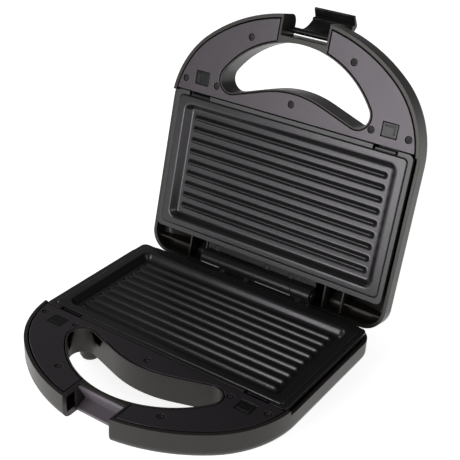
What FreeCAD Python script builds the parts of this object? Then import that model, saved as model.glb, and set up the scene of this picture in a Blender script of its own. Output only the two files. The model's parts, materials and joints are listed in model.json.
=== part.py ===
import FreeCAD, Part
import os
import re
import Sketcher
from math import hypot, sqrt
from FreeCAD import Rotation, Vector

# Panini press with a folding lid.
#
# World frame: +X to the right, +Y to the hinge, +Z up, origin on the table under the middle
# of the open press.  Both halves are drawn in one "half frame": its origin lies under the
# hinge axis on the deck surface, the handle points to -Y and the depth of the half goes to -Z.
# The base is that frame lifted to deck_height, the lid is the same frame turned over and
# swung open round the hinge.

doc = FreeCAD.newDocument("panini_press")

# ---------------------------------------------------------------- driving dimensions (mm)
DRIVING = [
    # whole press
    ("hinge_back", 55.1, "hinge axis behind the origin"),
    ("deck_height", 40.0, "table to the base's deck surface"),
    ("half_gap", 3.5, "deck surface to the hinge axis, half the closed gap"),
    ("open_angle", 103.0, "how far the lid stands open"),
    ("fit_gap", 0.3, "gap between pieces of different bodies"),
    ("run_gap", 0.05, "radial gap of a pin in its bore"),
    # shell plan
    ("half_width", 113.45, "outer half width of a shell"),
    ("handle_front", 212.35, "front of the handle ahead of the hinge"),
    ("front_ratio", 1.1789, "radius across the handle to the half width"),
    ("shoulder_ratio", 0.6941, "radius of the handle's shoulders to the half width"),
    ("rear_radius", 18.0, "plan radius of the rear corners"),
    ("base_rear", 5.6, "base's rear wall ahead of the hinge"),
    ("lid_rear", -12.8, "lid's rear wall ahead of the hinge"),
    # shell section
    ("wall", 2.8, "side wall"),
    ("floor", 2.4, "floor of the handle part"),
    ("handle_depth", 21.3, "deck to the underside of the handle"),
    ("body_depth", 36.0, "deck to the underside of the body"),
    ("edge_round", 7.5, "outer round along the underside"),
    ("inner_round", 4.9, "the same round inside"),
    ("rim_step", 3.5, "how far the rim drops beside the plate"),
    ("rim_step_start", 130.0, "where that step starts ahead of the hinge"),
    # raised body under the plate
    ("body_top", 19.0, "deck to where the body's flanks start"),
    ("flank_side", 110.0, "half width of the flanks at their start"),
    ("flank_front", 141.0, "front of the flanks at their start"),
    ("body_side", 92.0, "half width of the body's flat face"),
    ("body_front", 112.0, "front of that face"),
    ("body_corner", 12.0, "plan radius of its corners"),
    ("base_body_rear", 8.0, "rear of the base's body"),
    ("lid_body_rear", 4.0, "rear of the lid's flat face"),
    ("lid_flank_rear", -9.5, "rear of the lid's flanks at their start"),
    # hand opening
    ("hole_radius", 79.6, "outer arc of the hand opening"),
    ("hole_centre", 111.0, "centre of that arc"),
    ("hole_end_radius", 10.2, "round ends of the opening"),
    ("hole_end_x", 57.5, "their centres, sideways"),
    ("hole_bulge_radius", 85.0, "arc of the inner edge"),
    ("hole_bulge_centre", 68.6, "centre of that arc"),
    ("hole_wall", 1.1, "wall round the opening"),
    # latch gap in the handle
    ("gap_half", 20.6, "half width of the gap"),
    ("gap_back", 194.4, "back wall of the gap ahead of the hinge"),
    ("cheek", 1.6, "wall on each side of the gap"),
    # deck
    ("deck_thick", 2.2, "deck plate"),
    ("deck_inset", 4.0, "deck edge inside the shell's outline"),
    ("hole_seam", 1.0, "seam between the deck and the opening's wall"),
    ("frame_seam", 0.9, "seam between the deck and the plate frame"),
    ("screw_shank", 1.5, "deck screw shank radius"),
    ("screw_head", 2.6, "deck screw head radius"),
    ("head_thick", 0.9, "deck screw head"),
    ("head_sink", 1.3, "depth of the head's counterbore"),
    ("boss_radius", 3.6, "screw bosses"),
    # plate frame and grill plate
    ("frame_side", 109.0, "outer half width of the plate frame"),
    ("frame_front", 131.6, "its front edge ahead of the hinge"),
    ("frame_rear", 11.2, "its rear edge ahead of the hinge"),
    ("frame_corner", 4.5, "its corner radius"),
    ("frame_thick", 3.5, "its height"),
    ("plate_side", 105.0, "half width of the grill plate"),
    ("plate_front", 127.8, "its front edge"),
    ("plate_rear", 15.6, "its rear edge"),
    ("plate_proud", 0.6, "how far the plate's rim stands above the deck"),
    ("rim_thick", 2.2, "thickness of the plate's rim"),
    ("plate_skin", 1.9, "thickness of the tray"),
    ("rim_side", 7.6, "rim width at the sides"),
    ("rim_front", 6.2, "rim width at the front"),
    ("rim_rear", 6.7, "rim width at the rear"),
    ("tray_depth", 5.9, "rim to the tray's floor"),
    ("tray_run", 3.4, "run of the tray's sloping wall"),
    ("tray_clear", 0.6, "gap round the tray in the frame"),
    ("ridge_count", 9, "ridges on a plate"),
    ("ridge_pitch", 9.62, "distance between ridges"),
    ("ridge_half", 89.7, "half length of a ridge"),
    ("ridge_foot", 2.15, "half width of a ridge at its foot"),
    ("ridge_rise", 2.9, "height of a ridge"),
    # heating parts
    ("pan_depth", 17.8, "deck to the underside of the reflector pan"),
    ("pan_sheet", 0.8, "its sheet"),
    ("pan_margin", 1.8, "pan wall outside the tray's mouth"),
    ("element_radius", 3.2, "tube of the heating element"),
    ("element_drop", 11.4, "deck to the element's axis"),
    ("element_half", 62.0, "half length of the element's legs"),
    ("element_bend", 23.5, "radius of its bend"),
    ("thermostat_radius", 8.5, "thermostat disc"),
    ("thermostat_height", 8.0, "its height"),
    # hinge
    ("knuckle_radius", 6.0, "outer radius of a knuckle"),
    ("pin_radius", 1.5, "hinge pin"),
    ("knuckle_long", 35.0, "long knuckle"),
    ("knuckle_short", 17.5, "short knuckle"),
    ("knuckle_play", 0.2, "gap at each end of a knuckle"),
    ("leaf_thick", 3.0, "hinge leaf"),
    ("leaf_front", 10.9, "leaf's front edge ahead of the axis"),
    ("leaf_screw", 7.6, "leaf screws ahead of the axis"),
    ("leaf_screw_end", 6.0, "leaf screws from the ends of the long knuckle"),
    # latch
    ("latch_pin_ahead", 198.6, "latch pin ahead of the hinge"),
    ("latch_pin_depth", 14.0, "deck to the latch pin's axis"),
    ("latch_barrel", 2.5, "outer radius of the clip's barrel"),
    ("latch_pin_radius", 1.2, "latch pin"),
    ("latch_half", 18.6, "half width of the clip"),
    ("latch_reach", 36.0, "pin to the middle of the clip's end"),
    ("latch_bow", 5.4, "how far the clip bows out"),
    ("latch_thick", 3.0, "clip wall"),
    ("latch_lip", 8.2, "hooked lip, from the clip's middle line"),
    ("latch_swing", 164.0, "from the open rest to the latched place"),
    # release buttons and tongues
    ("pad_x", 85.7, "middle of a release button, sideways"),
    ("pad_ahead", 144.9, "middle of a release button ahead of the hinge"),
    ("pad_wide", 13.4, "its hole, sideways"),
    ("pad_long", 11.6, "its hole, front to back"),
    ("pad_seam", 0.6, "seam round a button"),
    ("slot_inner", 75.2, "slot of a tongue, inner end"),
    ("slot_outer", 96.0, "slot of a tongue, outer end"),
    # feet, lamps and gland
    ("foot_radius", 7.0, "rubber foot"),
    ("foot_x", 74.0, "feet sideways"),
    ("foot_front", 123.0, "front feet ahead of the hinge"),
    ("foot_rear", 19.0, "rear feet ahead of the hinge"),
    ("foot_seat", 0.8, "depth of the foot's seat in its pad"),
    ("lamp_radius", 3.4, "indicator lens"),
    ("lamp_x", 16.0, "lenses sideways"),
    ("lamp_ahead", 96.0, "lenses ahead of the hinge"),
    ("gland_x", 62.0, "cord gland sideways"),
    ("gland_depth", 28.0, "deck to the gland's axis"),
    ("gland_radius", 5.5, "gland in its hole"),
    # fasteners
    ("arm_screw_x", 45.9, "deck screws of the handle's arms, sideways"),
    ("arm_screw_ahead", 187.3, "the same ahead of the hinge"),
    ("end_screw_x", 70.8, "deck screws at the ends of the opening"),
    ("end_screw_ahead", 141.7, "the same ahead of the hinge"),
    ("corner_screw_x", 101.8, "deck screws in the corners"),
    ("corner_screw_ahead", 141.8, "the same ahead of the hinge"),
    ("middle_screw_ahead", 143.7, "middle deck screw ahead of the hinge"),
    ("frame_screw_x", 102.4, "frame screws sideways"),
    ("frame_screw_front", 112.0, "front frame screws ahead of the hinge"),
    ("frame_screw_rear", 36.0, "rear frame screws ahead of the hinge"),
    ("screw_bite", 10.0, "depth of the screw holes in the posts"),
    ("head_cone", 1.2, "countersunk head"),
    ("recess_half", 0.35, "half width of a cross recess"),
    ("post_radius", 3.2, "frame screw posts"),
    ("leaf_boss", 2.6, "leaf screw posts"),
    ("leaf_sink", 0.4, "deck level to the leaf's top"),
    ("leaf_back", 5.6, "leaf's back edge ahead of the axis"),
    ("pocket_top", 1.2, "deck to the pockets beside the left end's pillar"),
    ("pocket_inner_x", 7.0, "inner pocket from the middle of that end, sideways"),
    ("pocket_inner_back", 8.4, "the same, to the rear"),
    ("pocket_inner_radius", 8.6, "its radius at the top"),
    ("pocket_inner_tip", 4.4, "its radius at the bottom"),
    ("pocket_inner_deep", 7.6, "its depth"),
    ("pocket_outer_x", -9.6, "outer pocket from the middle of that end, sideways"),
    ("pocket_outer_back", -3.4, "the same, to the rear"),
    ("pocket_outer_radius", 6.4, "its radius at the top"),
    ("pocket_outer_tip", 2.2, "its radius at the bottom"),
    ("pocket_outer_deep", 12.0, "its depth"),
    ("rib", 1.4, "ribs in the lid's open rear"),
    ("rib_inner", 57.5, "inner ribs sideways"),
    ("rib_outer", 74.0, "outer ribs sideways"),
    ("rib_top", 6.5, "deck to the ribs' upper edge"),
    ("rib_ledge", 9.0, "deck to the ledge between them"),
    # catch in the base
    ("catch_skin", 1.4, "strip that lines the catch"),
    ("catch_top", 1.0, "its upper edge below the deck surface"),
    ("catch_nose_depth", 3.3, "deck to the catch's nose"),
    ("catch_hollow", 6.2, "how far the catch is hollowed back"),
    ("catch_hollow_depth", 15.0, "deck to the deepest hollow"),
    ("catch_toe", 2.6, "how far its foot stands forward"),
    ("catch_lean", 7.5, "how far the bar leans back over its depth"),
    # smaller sizes
    ("plate_corner", 4.0, "corner radius of the plate's rim"),
    ("tray_shift", 0.2, "ridges behind the middle of the plate"),
    ("ridge_taper", 25.0, "slope of a ridge's flank"),
    ("base_flank_rear", 8.0, "rear of the base's flanks at their start"),
    ("foot_high", 3.8, "rubber foot"),
    ("rail_in", 3.3, "tongue rails, inner face from the button's middle"),
    ("rail_out", 6.4, "tongue rails, outer face"),
    ("tongue_low", 9.2, "deck to the tongue's underside"),
    ("tongue_thick", 2.0, "tongue"),
    ("tongue_ratio", 0.6, "tongue's travel for each millimetre of the button's"),
]

sheet = doc.addObject("Spreadsheet::Sheet", "Sizes")
for row, (alias, amount, note) in enumerate(DRIVING, start=1):
    sheet.set(f"A{row}", note)
    sheet.set(f"B{row}", str(amount))
    sheet.setAlias(f"B{row}", alias)
doc.recompute()


def size(alias):
    """Value of a driving dimension in millimetres."""
    return float(sheet.get(alias))


WORD = re.compile(r"[a-z_]{3,}")


def bound(expression):
    """The same expression with every alias read from the sheet."""
    return WORD.sub(lambda word: f"Sizes.{word.group(0)}", expression)


# ---------------------------------------------------------------- placements of the halves
BASE_PLACE = "create(<<placement>>; create(<<vector>>; 0; Sizes.hinge_back; Sizes.deck_height); "\
    "create(<<rotation>>; create(<<vector>>; 1; 0; 0); 0))"
LID_PLACE = (
    "create(<<placement>>; create(<<vector>>; 0; Sizes.hinge_back;"
    " Sizes.deck_height + Sizes.half_gap);"
    " create(<<rotation>>; create(<<vector>>; 1; 0; 0); -Sizes.open_angle))"
    " * create(<<placement>>; create(<<vector>>; 0; 0; Sizes.half_gap);"
    " create(<<rotation>>; create(<<vector>>; 0; 1; 0); 180))"
)
LATCH_PLACE = LID_PLACE + (
    " * create(<<placement>>; create(<<vector>>; 0; -Sizes.latch_pin_ahead;"
    " -Sizes.latch_pin_depth);"
    " create(<<rotation>>; create(<<vector>>; 1; 0; 0); Sizes.latch_swing))"
)
PLACES = {"base": BASE_PLACE, "lid": LID_PLACE, "latch": LATCH_PLACE}


# ---------------------------------------------------------------- small modelling helpers
# Every solid is drawn in the half frame; only a finished node gets the placement of its half.
nodes = []


def placed(made, x, y, z):
    for axis, expression in zip("xyz", (x, y, z)):
        made.setExpression(f"Placement.Base.{axis}", bound(expression))
    return made


def block(x0, x1, y0, y1, z0, z1):
    """Box between six expressions of the sheet."""
    made = doc.addObject("Part::Box", "Block")
    made.setExpression("Length", bound(f"({x1}) - ({x0})"))
    made.setExpression("Width", bound(f"({y1}) - ({y0})"))
    made.setExpression("Height", bound(f"({z1}) - ({z0})"))
    return placed(made, x0, y0, z0)


def rod(x, y, z0, z1, radius):
    """Upright cylinder."""
    made = doc.addObject("Part::Cylinder", "Rod")
    made.setExpression("Radius", bound(radius))
    made.setExpression("Height", bound(f"({z1}) - ({z0})"))
    return placed(made, x, y, z0)


def cone(x, y, z0, z1, low, high):
    """Upright cone from radius low to radius high."""
    made = doc.addObject("Part::Cone", "Cone")
    made.setExpression("Radius1", bound(low))
    made.setExpression("Radius2", bound(high))
    made.setExpression("Height", bound(f"({z1}) - ({z0})"))
    return placed(made, x, y, z0)


def bar(x0, x1, y, z, radius):
    """Cylinder lying along x."""
    made = doc.addObject("Part::Cylinder", "Bar")
    made.setExpression("Radius", bound(radius))
    made.setExpression("Height", bound(f"({x1}) - ({x0})"))
    turn = "create(<<rotation>>; create(<<vector>>; 0; 1; 0); 90)"
    spot = f"create(<<vector>>; {bound(x0)}; {bound(y)}; {bound(z)})"
    made.setExpression("Placement", f"create(<<placement>>; {spot}; {turn})")
    return made


def post(x, y0, y1, z, radius):
    """Cylinder lying along y."""
    made = doc.addObject("Part::Cylinder", "Post")
    made.setExpression("Radius", bound(radius))
    made.setExpression("Height", bound(f"({y1}) - ({y0})"))
    turn = "create(<<rotation>>; create(<<vector>>; 1; 0; 0); -90)"
    spot = f"create(<<vector>>; {bound(x)}; {bound(y0)}; {bound(z)})"
    made.setExpression("Placement", f"create(<<placement>>; {spot}; {turn})")
    return made


def fuse(parts):
    if len(parts) == 1:
        return parts[0]
    made = doc.addObject("Part::MultiFuse", "Fuse")
    made.Shapes = parts
    return made


def cut(base, tools):
    made = doc.addObject("Part::Cut", "Cut")
    made.Base = base
    made.Tool = fuse(tools)
    return made


def group(parts):
    """Separate solids that share one node, such as a set of equal screws."""
    made = doc.addObject("Part::Compound", "Group")
    made.Links = parts
    return made


def mirrored(part):
    """The same solid on the other side of the press."""
    made = doc.addObject("Part::Mirroring", "Mirror")
    made.Source = part
    made.Normal = (1, 0, 0)
    return made


def both(part):
    return [part, mirrored(part)]


def node(label, part, place):
    """Name a finished solid and put it where its half stands."""
    if part.TypeId in ("Part::Box", "Part::Cylinder", "Part::Cone", "PartDesign::Body"):
        part = fuse_one(part)
    part.Label = label
    part.setExpression("Placement", PLACES[place])
    nodes.append(part)
    return part


def fuse_one(part):
    """Holder for a single solid, so that its own place in the half frame stays."""
    made = doc.addObject("Part::Compound", "Holder")
    made.Links = [part]
    return made


# ---------------------------------------------------------------- sketched solids
def flat(x, y):
    return Vector(x, y, 0)


class Drawn:
    """PartDesign body whose sketches are laid on its own origin planes."""

    def __init__(self):
        self.body = doc.addObject("PartDesign::Body", "Body")

    def sketch(self, steps, plane="XY_Plane", lift="0"):
        """Closed outline: a step is (end,) for a line or (middle, end) for an arc."""
        face = [f for f in self.body.Origin.OriginFeatures if f.Role == plane][0]
        drawn = self.body.newObject("Sketcher::SketchObject", "Sketch")
        drawn.AttachmentSupport = [(face, "")]
        drawn.MapMode = "FlatFace"
        drawn.setExpression("AttachmentOffset.Base.z", bound(lift))
        at = steps[-1][-1]
        for step in steps:
            if len(step) == 1:
                drawn.addGeometry(Part.LineSegment(at, step[0]), False)
            else:
                drawn.addGeometry(Part.Arc(at, step[0], step[1]), False)
            at = step[-1]
        for number in range(drawn.GeometryCount):
            drawn.addConstraint(Sketcher.Constraint("Block", number))
        drawn.Visibility = False
        return drawn

    def pad(self, profile, length, middle=False):
        """Pad downwards, or to both sides of the sketch."""
        made = self.body.newObject("PartDesign::Pad", "Pad")
        made.Profile = profile
        made.setExpression("Length", bound(length))
        made.Reversed = not middle
        made.Midplane = middle
        doc.recompute()
        return self

    def loft(self, first, second):
        made = self.body.newObject("PartDesign::AdditiveLoft", "Loft")
        made.Profile = first
        made.Sections = [second]
        made.Ruled = True
        doc.recompute()
        return self

    def soften(self, radius, level):
        """Round every edge that lies wholly at one height."""
        base = self.body.Tip
        names = []
        for number, edge in enumerate(base.Shape.Edges, start=1):
            box = edge.BoundBox
            if abs(box.ZMin - level) < 1e-4 and abs(box.ZMax - level) < 1e-4:
                names.append(f"Edge{number}")
        made = self.body.newObject("PartDesign::Fillet", "Fillet")
        made.Base = (base, names)
        made.setExpression("Radius", bound(radius))
        doc.recompute()
        return self


def shell_outline(inset, rear):
    """Plan of a half: wide front arc, shoulders, straight sides, round rear corners."""
    wide = size("half_width")
    big = size("front_ratio") * wide - inset
    small = size("shoulder_ratio") * wide - inset
    side = wide - inset
    corner = size("rear_radius") - inset
    k = corner * (1 - sqrt(0.5))
    reach = big - small
    cx = side - small
    centre = inset + big - size("handle_front")
    cy = centre - sqrt(reach ** 2 - cx ** 2)
    ux, uy = cx / reach, (cy - centre) / reach
    tx, ty = ux * big, centre + uy * big
    mx, my = ux + 1, uy
    mid = hypot(mx, my)
    sx, sy = cx + small * mx / mid, cy + small * my / mid
    back = -rear - inset
    return [
        (flat(0, centre - big), flat(tx, ty)),
        (flat(sx, sy), flat(side, cy)),
        (flat(side, back - corner),),
        (flat(side - k, back - k), flat(side - corner, back)),
        (flat(corner - side, back),),
        (flat(k - side, back - k), flat(-side, back - corner)),
        (flat(-side, cy),),
        (flat(-sx, sy), flat(-tx, ty)),
    ]


def rounded(side, front, rear, radius):
    """Rectangle with round corners, given by its half width, front and rear."""
    y0, y1 = -front, -rear
    k = radius * (1 - sqrt(0.5))
    return [
        (flat(side - radius, y0),),
        (flat(side - k, y0 + k), flat(side, y0 + radius)),
        (flat(side, y1 - radius),),
        (flat(side - k, y1 - k), flat(side - radius, y1)),
        (flat(radius - side, y1),),
        (flat(k - side, y1 - k), flat(-side, y1 - radius)),
        (flat(-side, y0 + radius),),
        (flat(k - side, y0 + k), flat(radius - side, y0)),
    ]


def opening_outline(grow):
    """Crescent of the hand opening: wide outer arc, round ends, bulging inner edge."""
    far = size("hole_radius") + grow
    end = size("hole_end_radius") + grow
    bulge = size("hole_bulge_radius") - grow
    fy = -size("hole_centre")
    by = -size("hole_bulge_centre")
    ex = size("hole_end_x")
    span = size("hole_radius") - size("hole_end_radius")
    ey = fy - sqrt(span ** 2 - ex ** 2)
    ux, uy = ex / span, (ey - fy) / span
    dx, dy = -ex, by - ey
    apart = hypot(dx, dy)
    along = (end + bulge) / apart
    across = sqrt(1 - along ** 2)
    nx = (dx * along + dy * across) / apart
    ny = (dy * along - dx * across) / apart
    mid = hypot(ux + nx, uy + ny)
    mx, my = (ux + nx) / mid, (uy + ny) / mid
    outer = flat(far * ux, fy + far * uy)
    turn = flat(ex + end * mx, ey + end * my)
    leave = flat(ex + end * nx, ey + end * ny)
    meet = flat(-bulge * nx, by - bulge * ny)

    def left(point):
        return flat(-point.x, point.y)

    return [
        (flat(0, fy - far), outer),
        (turn, leave),
        (meet,),
        (flat(0, by - bulge), left(meet)),
        (left(leave),),
        (left(turn), left(outer)),
    ]


def slab(outline, top, thick):
    """Flat plate below the level top."""
    made = Drawn()
    return made.pad(made.sketch(outline, lift=top), thick).body


def prism(steps, half):
    """Profile in the y-z plane, run to both sides of the middle."""
    made = Drawn()
    return made.pad(made.sketch(steps, plane="YZ_Plane"), f"2 * ({half})", middle=True).body


def tub(first, second, top, bottom):
    """Straight-sided loft between two levels."""
    made = Drawn()
    return made.loft(made.sketch(first, lift=top), made.sketch(second, lift=bottom)).body


# ---------------------------------------------------------------- places of the fasteners
DECK_SCREWS = [
    ("arm_screw_x", "-arm_screw_ahead"), ("-arm_screw_x", "-arm_screw_ahead"),
    ("end_screw_x", "-end_screw_ahead"), ("-end_screw_x", "-end_screw_ahead"),
    ("corner_screw_x", "-corner_screw_ahead"), ("-corner_screw_x", "-corner_screw_ahead"),
    ("0", "-middle_screw_ahead"),
]
FRAME_SCREWS = [
    (side + "frame_screw_x", ahead)
    for side in ("", "-") for ahead in ("-frame_screw_front", "-frame_screw_rear")
]
LEAF_SCREWS = [
    ("leaf_screw_end - knuckle_long", "-leaf_screw"),
    ("-leaf_screw_end", "-leaf_screw"),
    ("knuckle_long + knuckle_short / 2", "-leaf_screw"),
]
SEAT = "plate_proud - rim_thick - fit_gap"
FEET = [
    ("foot_x", "-foot_front"), ("-foot_x", "-foot_front"),
    ("foot_x", "-foot_rear"), ("-foot_x", "-foot_rear"),
]


def crossed(x, y, top, depth, reach):
    """Cross recess of a screw head."""
    first = block(f"{x} - {reach}", f"{x} + {reach}", f"{y} - recess_half", f"{y} + recess_half",
                  f"{top} - {depth}", f"{top} + 1")
    second = block(f"{x} - recess_half", f"{x} + recess_half", f"{y} - {reach}", f"{y} + {reach}",
                   f"{top} - {depth}", f"{top} + 1")
    return [first, second]


def pan_screw(x, y, seat, length):
    """Screw with a low round head whose underside sits on the level seat."""
    head = rod(x, y, seat, f"{seat} + head_thick", "screw_head")
    shank = rod(x, y, f"{seat} - {length}", seat, "screw_shank")
    return cut(fuse([head, shank]), crossed(x, y, f"{seat} + head_thick", "0.6", "1.6"))


def flush_screw(x, y, top, length):
    """Countersunk screw whose head is flush with the level top."""
    head = cone(x, y, f"{top} - head_cone", top, "screw_shank", "screw_shank + head_cone")
    shank = rod(x, y, f"{top} - {length}", f"{top} - head_cone", "screw_shank")
    return cut(fuse([head, shank]), crossed(x, y, top, "0.6", "1.5"))


# ---------------------------------------------------------------- pieces of one half
def shell(half, rear, flank_rear, body_rear):
    """Hollow moulding: handle part with the hand opening, raised body, posts and walls."""
    wall = size("wall")
    depth = size("handle_depth")
    outer = Drawn()
    outer.pad(outer.sketch(shell_outline(0, size(rear))), "handle_depth")
    outer.soften("edge_round", -depth)
    corner = size("body_corner")
    flank = (size("flank_side"), size("flank_front"), size(flank_rear))
    face = (size("body_side"), size("body_front"), size(body_rear))
    outer.loft(outer.sketch(rounded(*flank, corner), lift="-body_top"),
               outer.sketch(rounded(*face, corner), lift="-body_depth"))
    inner = Drawn()
    inner.pad(inner.sketch(shell_outline(wall, size(rear))), "handle_depth - floor")
    inner.soften("inner_round", size("floor") - depth)
    flank = (flank[0] - wall, flank[1] - wall, flank[2] + wall)
    face = (face[0] - wall, face[1] - wall, face[2] + wall)
    inner.loft(inner.sketch(rounded(*flank, corner - wall), lift="floor - body_top"),
               inner.sketch(rounded(*face, corner - wall), lift="floor - body_depth"))
    deep = "-body_depth - 10"
    kept = [slab(opening_outline(size("hole_wall")), "0", "body_depth")]
    kept.append(block("-gap_half - cheek", "gap_half + cheek", "-handle_front",
                      "-gap_back + 6", deep, "0"))
    for x, y in DECK_SCREWS:
        kept.append(rod(x, y, deep, "-deck_thick", "boss_radius"))
    for x, y in FRAME_SCREWS:
        kept.append(rod(x, y, deep, "-frame_thick - pan_sheet", "post_radius"))
    for x, y in LEAF_SCREWS:
        kept.append(rod(x, y, deep, "-leaf_thick - leaf_sink", "leaf_boss"))
    rail = block("pad_x - rail_out", "pad_x - rail_in", "-pad_ahead - 7", "-pad_ahead + 12", deep,
                 "-tongue_low - fit_gap")
    other = block("pad_x + rail_in", "pad_x + rail_out", "-pad_ahead - 7", "-pad_ahead + 12", deep,
                  "-tongue_low - fit_gap")
    kept += both(rail) + both(other)
    body = outer.body
    if half == "base":
        pads = [rod(x, y, "foot_seat - deck_height + foot_high - 2 * foot_seat", "-body_top",
                    "foot_radius + 1.2") for x, y in FEET]
        body = fuse([outer.body] + pads)
    if half == "lid":
        kept += ribs()
    hollow = cut(inner.body, kept)
    gone = [hollow, slab(opening_outline(0), "1", "body_depth + 2")]
    gone.append(block("-half_width - 1", "half_width + 1", "-rim_step_start", "20", "-rim_step", "1"))
    for x, y in DECK_SCREWS:
        gone.append(rod(x, y, "-deck_thick - screw_bite", "1", "screw_shank"))
    for x, y in FRAME_SCREWS:
        gone.append(rod(x, y, "-frame_thick - pan_sheet - screw_bite", "1", "screw_shank"))
    for x, y in LEAF_SCREWS:
        gone.append(rod(x, y, "-leaf_thick - leaf_sink - screw_bite", "1", "screw_shank"))
    if half == "base":
        gone += pillar_pockets()
        window = block("gap_half - 1", "gap_half + cheek + 0.1", "-handle_front + 5.5",
                       "-gap_back - 3.2", "-handle_depth + 5", "-rim_step")
        gone += both(window)
        for x, y in FEET:
            gone.append(rod(x, y, "-deck_height", "-deck_height + foot_high", "foot_radius"))
        gone.append(post("gland_x", "-base_rear - 12", "0", "-gland_depth", "gland_radius"))
        bar_back = prism(housing_outline(), "gap_half + cheek")
        done = fuse([cut(body, gone), bar_back])
        return cut(done, [prism(catch_outline(size("catch_skin")), "gap_half")])
    gone.append(block("-gap_half", "gap_half", "-handle_front - 1", "-gap_back",
                      "-body_depth", "1"))
    gone.append(bar("-gap_half - cheek", "gap_half + cheek", "-latch_pin_ahead", "-latch_pin_depth",
                    "latch_pin_radius"))
    for x in ("lamp_x", "-lamp_x"):
        gone.append(rod(x, "-lamp_ahead", "-body_depth - 1", "-body_depth + 6", "lamp_radius"))
    return cut(body, gone)


def pillar_pockets():
    """Tapered pockets that open the wall on both sides of the pillar at the left end."""
    span = size("hole_radius") - size("hole_end_radius")
    end = -size("hole_centre") - sqrt(span ** 2 - size("hole_end_x") ** 2)
    return [
        cone(f"pocket_{side}_x - hole_end_x", f"{end:.4f} + pocket_{side}_back",
             f"-pocket_top - pocket_{side}_deep", "-pocket_top", f"pocket_{side}_tip",
             f"pocket_{side}_radius") for side in ("inner", "outer")
    ]


def ribs():
    """Upright ribs and a ledge in the open space behind the plate frame."""
    deep = "-body_depth - 10"
    inner = block("rib_inner", "rib_inner + rib", "-frame_rear", "-lid_rear", deep, "-rib_top")
    outer = block("rib_outer", "rib_outer + rib", "-frame_rear", "-lid_rear", deep, "-rib_top")
    ledge = block("rib_outer", "half_width", "1", "1 + rib", deep, "-rib_ledge")
    return both(inner) + both(outer) + both(ledge)


def housing_outline():
    """Back of the base's catch: a solid piece of the bar that leans back as it goes down."""
    y = -size("gap_back")
    low = -size("handle_depth")
    return [
        (flat(y - 1, -1),),
        (flat(y - 1, low),),
        (flat(y + size("catch_lean") + 4.0, low),),
        (flat(y + 4.0, -1),),
    ]


def catch_outline(deeper):
    """Everything ahead of the base's hooked catch face, moved back by a margin."""
    y = -size("gap_back") + deeper
    nose = -size("catch_nose_depth")
    hollow = -size("catch_hollow_depth")
    front = -size("handle_front") - 5
    return [
        (flat(front, 2),),
        (flat(y, 2),),
        (flat(y, nose),),
        (flat(y + size("catch_hollow"), hollow),),
        (flat(y - size("catch_toe"), -size("handle_depth") + 2.5),),
        (flat(y - size("catch_toe"), -size("body_depth")),),
        (flat(front, -size("body_depth")),),
    ]


def catch_insert():
    """Hooked strip that lines the catch and takes the latch's lip."""
    outline = catch_outline(0)
    thick = size("catch_skin")
    low = -size("handle_depth") + 0.5
    faces = [outline[1][0], outline[2][0], outline[3][0], outline[4][0]]
    faces[0] = flat(faces[0].x, -size("catch_top"))
    backs = [flat(p.x + thick, p.y) for p in faces]
    toe = flat(faces[3].x, low)
    points = faces + [toe, flat(toe.x + thick, low)] + backs[::-1]
    return prism([(p,) for p in points], "gap_half - 0.2")


def deck():
    """Flat cover of the handle part."""
    plate = slab(shell_outline(size("deck_inset"), size("base_rear")), "0", "deck_thick")
    gone = [slab(opening_outline(size("hole_wall") + size("hole_seam")), "1", "deck_thick + 2")]
    gone.append(block("-half_width", "half_width", "-frame_front - frame_seam", "20", "-5", "1"))
    gone.append(block("-gap_half - cheek - hole_seam", "gap_half + cheek + hole_seam",
                      "-handle_front", "-gap_back + 6", "-5", "1"))
    for x, y in DECK_SCREWS:
        gone.append(rod(x, y, "-5", "1", "screw_shank + 0.2"))
        gone.append(rod(x, y, "-head_sink", "1", "screw_head + 0.3"))
    button = block("pad_x - pad_wide / 2", "pad_x + pad_wide / 2", "-pad_ahead - pad_long / 2",
                   "-pad_ahead + pad_long / 2", "-5", "1")
    gone += both(button)
    return cut(plate, gone)


def plate_frame():
    """Ring that holds the grill plate, with a ledge under the plate's rim."""
    side = size("frame_side")
    front = size("frame_front")
    rear = size("frame_rear")
    ring = slab(rounded(side, front, rear, size("frame_corner")), "0", "frame_thick")
    gap = size("fit_gap")
    seat = (size("plate_side") + gap, size("plate_front") + gap, size("plate_rear") - gap)
    mouth, clear = tray_mouth(), size("plate_skin") + size("tray_clear")
    open_part = (mouth[0] + clear, mouth[1] + clear, mouth[2] - clear)
    gone = [slab(rounded(*seat, size("plate_corner")), "1", "1 + rim_thick - plate_proud + fit_gap")]
    gone.append(slab(rounded(*open_part, size("plate_corner")), "1", "frame_thick + 2"))
    slot = block("slot_inner", "slot_outer", "-frame_front - 1", "-plate_front - fit_gap",
                 "-frame_thick - 1", "1")
    gone += both(slot)
    for x, y in FRAME_SCREWS:
        gone.append(cone(x, y, f"{SEAT} - head_cone", SEAT, "screw_shank", "screw_shank + head_cone"))
        gone.append(rod(x, y, "-frame_thick - 1", f"{SEAT} - head_cone", "screw_shank"))
    return cut(ring, gone)


def tray_mouth():
    """Half width, front and rear of the tray's upper edge."""
    return (size("plate_side") - size("rim_side"), size("plate_front") - size("rim_front"),
            size("plate_rear") + size("rim_rear"))


def ridge_outlines():
    """Outlines of the straight ribs on the tray's floor."""
    half = size("ridge_half")
    foot = size("ridge_foot")
    middle = -(size("plate_front") + size("plate_rear")) / 2 + size("tray_shift")
    count = int(size("ridge_count"))
    for number in range(count):
        y = middle + (number - (count - 1) / 2) * size("ridge_pitch")
        yield [
            (flat(half - foot, y - foot),),
            (flat(half, y), flat(half - foot, y + foot)),
            (flat(foot - half, y + foot),),
            (flat(-half, y), flat(foot - half, y - foot)),
        ]


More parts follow.
